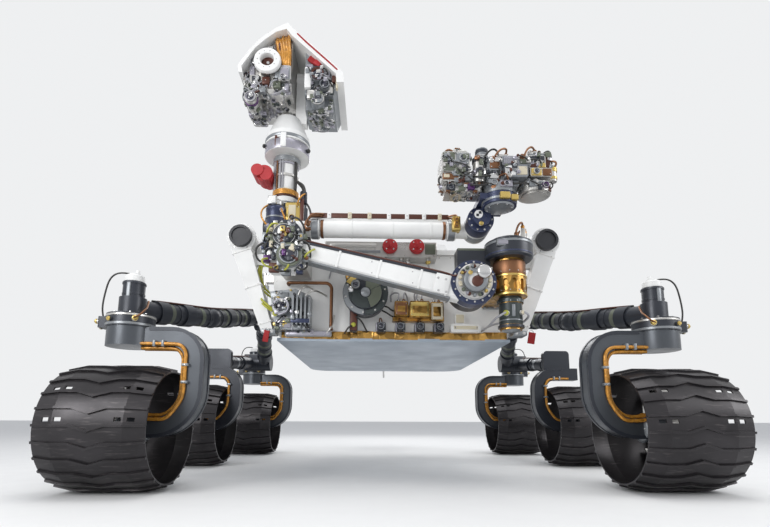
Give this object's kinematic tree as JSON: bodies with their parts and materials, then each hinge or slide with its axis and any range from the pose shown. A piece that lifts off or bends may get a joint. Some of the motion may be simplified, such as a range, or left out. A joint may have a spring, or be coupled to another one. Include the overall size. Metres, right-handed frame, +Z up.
{
  "type": "mars rover",
  "caption": "Six-wheeled planetary rover with a mast head, a folded tool arm at the nose and a finned power source at the tail.",
  "frame": {"origin": "on the ground, in the middle of the rover's outline", "axes": "-Y is the nose, +Z is up, +X is the viewer's right when looking at the nose"},
  "size_m": [2.838, 3.002, 2.201],
  "materials": {
    "white_paint": "satin",
    "wheel_black": "satin",
    "strut_grey": "satin",
    "dark_housing": "satin",
    "bare_metal": "satin",
    "pan_grey": "satin",
    "gold_film": "gloss",
    "red_cover": "matte",
    "copper_pipe": "satin",
    "black_cap": "satin"
  },
  "bodies": {
    "root": {"chassis": "white_paint", "belly_pan": "pan_grey", "deck": "white_paint", "corner_posts": "white_paint", "post_caps": "black_cap", "mast_foot": "dark_housing", "mast_tube": "white_paint", "mast_covers": "red_cover", "shoulder_base": "gold_film", "arm_saddle": "bare_metal", "nose_cameras": "dark_housing", "nose_electronics": "gold_film", "nose_drum": "dark_housing", "nose_bracket": "bare_metal", "inlet_box": "bare_metal", "inlet_covers": "red_cover", "side_pivots": "bare_metal", "balance_bar": "bare_metal", "radio_mast": "white_paint", "antenna_stand": "bare_metal", "power_source": "white_paint", "power_frame": "bare_metal", "lift_bosses": "bare_metal", "nose_junction": "white_paint", "nose_pipe": "copper_pipe", "heat_plates": "white_paint", "deck_fittings": "bare_metal", "rocker_left": "dark_housing", "rocker_right": "dark_housing", "bogie_left": "dark_housing", "bogie_right": "dark_housing"},
    "steer_front_left": {"strut_front_left": "strut_grey"},
    "wheel_front_left_body": {"wheel_front_left": "wheel_black", "hub_front_left": "bare_metal"},
    "steer_front_right": {"strut_front_right": "strut_grey"},
    "wheel_front_right_body": {"wheel_front_right": "wheel_black", "hub_front_right": "bare_metal"},
    "wheel_middle_left_body": {"wheel_middle_left": "wheel_black", "hub_middle_left": "bare_metal"},
    "wheel_middle_right_body": {"wheel_middle_right": "wheel_black", "hub_middle_right": "bare_metal"},
    "steer_rear_left": {"strut_rear_left": "strut_grey"},
    "wheel_rear_left_body": {"wheel_rear_left": "wheel_black", "hub_rear_left": "bare_metal"},
    "steer_rear_right": {"strut_rear_right": "strut_grey"},
    "wheel_rear_right_body": {"wheel_rear_right": "wheel_black", "hub_rear_right": "bare_metal"},
    "mast_pan_body": {"mast_collar": "white_paint"},
    "mast_head": {"head_roof": "white_paint", "head_telescope": "bare_metal", "head_cameras": "bare_metal"},
    "arm_shoulder": {"shoulder_turntable": "dark_housing"},
    "arm_upper": {"upper_arm": "white_paint"},
    "arm_fore": {"forearm": "white_paint"},
    "arm_wrist": {"wrist": "dark_housing"},
    "arm_turret": {"turret_hub": "dark_housing", "turret_drill": "bare_metal", "turret_sampler": "bare_metal"},
    "antenna_turn": {"antenna_yoke": "bare_metal"},
    "antenna_tilt": {"antenna_panel": "white_paint"}
  },
  "joints": [
    {"name": "steer_front_left", "type": "hinge", "parent": "root", "child": "steer_front_left", "pos_m": [-1.114, -1.251, 0.655], "axis": [0, 0, 1], "range_deg": [-95, 95]},
    {"name": "drive_front_left", "type": "hinge", "parent": "steer_front_left", "child": "wheel_front_left_body", "pos_m": [-1.114, -1.251, 0.25], "axis": [1, 0, 0], "continuous": true},
    {"name": "steer_front_right", "type": "hinge", "parent": "root", "child": "steer_front_right", "pos_m": [1.114, -1.251, 0.655], "axis": [0, 0, 1], "range_deg": [-95, 95]},
    {"name": "drive_front_right", "type": "hinge", "parent": "steer_front_right", "child": "wheel_front_right_body", "pos_m": [1.114, -1.251, 0.25], "axis": [1, 0, 0], "continuous": true},
    {"name": "drive_middle_left", "type": "hinge", "parent": "root", "child": "wheel_middle_left_body", "pos_m": [-1.219, -0.189, 0.25], "axis": [1, 0, 0], "continuous": true},
    {"name": "drive_middle_right", "type": "hinge", "parent": "root", "child": "wheel_middle_right_body", "pos_m": [1.219, -0.189, 0.25], "axis": [1, 0, 0], "continuous": true},
    {"name": "steer_rear_left", "type": "hinge", "parent": "root", "child": "steer_rear_left", "pos_m": [-1.114, 0.809, 0.655], "axis": [0, 0, 1], "range_deg": [-95, 95]},
    {"name": "drive_rear_left", "type": "hinge", "parent": "steer_rear_left", "child": "wheel_rear_left_body", "pos_m": [-1.114, 0.809, 0.25], "axis": [1, 0, 0], "continuous": true},
    {"name": "steer_rear_right", "type": "hinge", "parent": "root", "child": "steer_rear_right", "pos_m": [1.114, 0.809, 0.655], "axis": [0, 0, 1], "range_deg": [-95, 95]},
    {"name": "drive_rear_right", "type": "hinge", "parent": "steer_rear_right", "child": "wheel_rear_right_body", "pos_m": [1.114, 0.809, 0.25], "axis": [1, 0, 0], "continuous": true},
    {"name": "mast_pan", "type": "hinge", "parent": "root", "child": "mast_pan_body", "pos_m": [-0.545, -0.979, 1.59], "axis": [0, 0, 1], "range_deg": [-180, 180]},
    {"name": "mast_tilt", "type": "hinge", "parent": "mast_pan_body", "child": "mast_head", "pos_m": [-0.477, -0.979, 2.03], "axis": [-1, 0, 0], "range_deg": [-87, 91]},
    {"name": "shoulder_azimuth", "type": "hinge", "parent": "root", "child": "arm_shoulder", "pos_m": [0.486, -1.255, 0.9658], "axis": [0, 0, 1], "range_deg": [0, 120]},
    {"name": "shoulder_elevation", "type": "hinge", "parent": "arm_shoulder", "child": "arm_upper", "pos_m": [0.315, -1.255, 0.85], "axis": [0, 1, 0], "range_deg": [-70, 10]},
    {"name": "elbow", "type": "hinge", "parent": "arm_upper", "child": "arm_fore", "pos_m": [-0.474, -1.255, 1.04], "axis": [0, -1, 0], "range_deg": [0, 150]},
    {"name": "wrist", "type": "hinge", "parent": "arm_fore", "child": "arm_wrist", "pos_m": [0.352, -1.255, 1.128], "axis": [0, -1, 0], "range_deg": [-10, 80]},
    {"name": "turret", "type": "hinge", "parent": "arm_wrist", "child": "arm_turret", "pos_m": [0.415, -1.386, 1.1957], "axis": [0, 0, 1], "range_deg": [-175, 175]},
    {"name": "antenna_azimuth", "type": "hinge", "parent": "root", "child": "antenna_turn", "pos_m": [0.34, 0.09, 1.2242], "axis": [0, 0, 1], "range_deg": [-180, 180]},
    {"name": "antenna_elevation", "type": "hinge", "parent": "antenna_turn", "child": "antenna_tilt", "pos_m": [0.34, 0.09, 1.4143], "axis": [-1, 0, 0], "range_deg": [0, 90]}
  ]
}
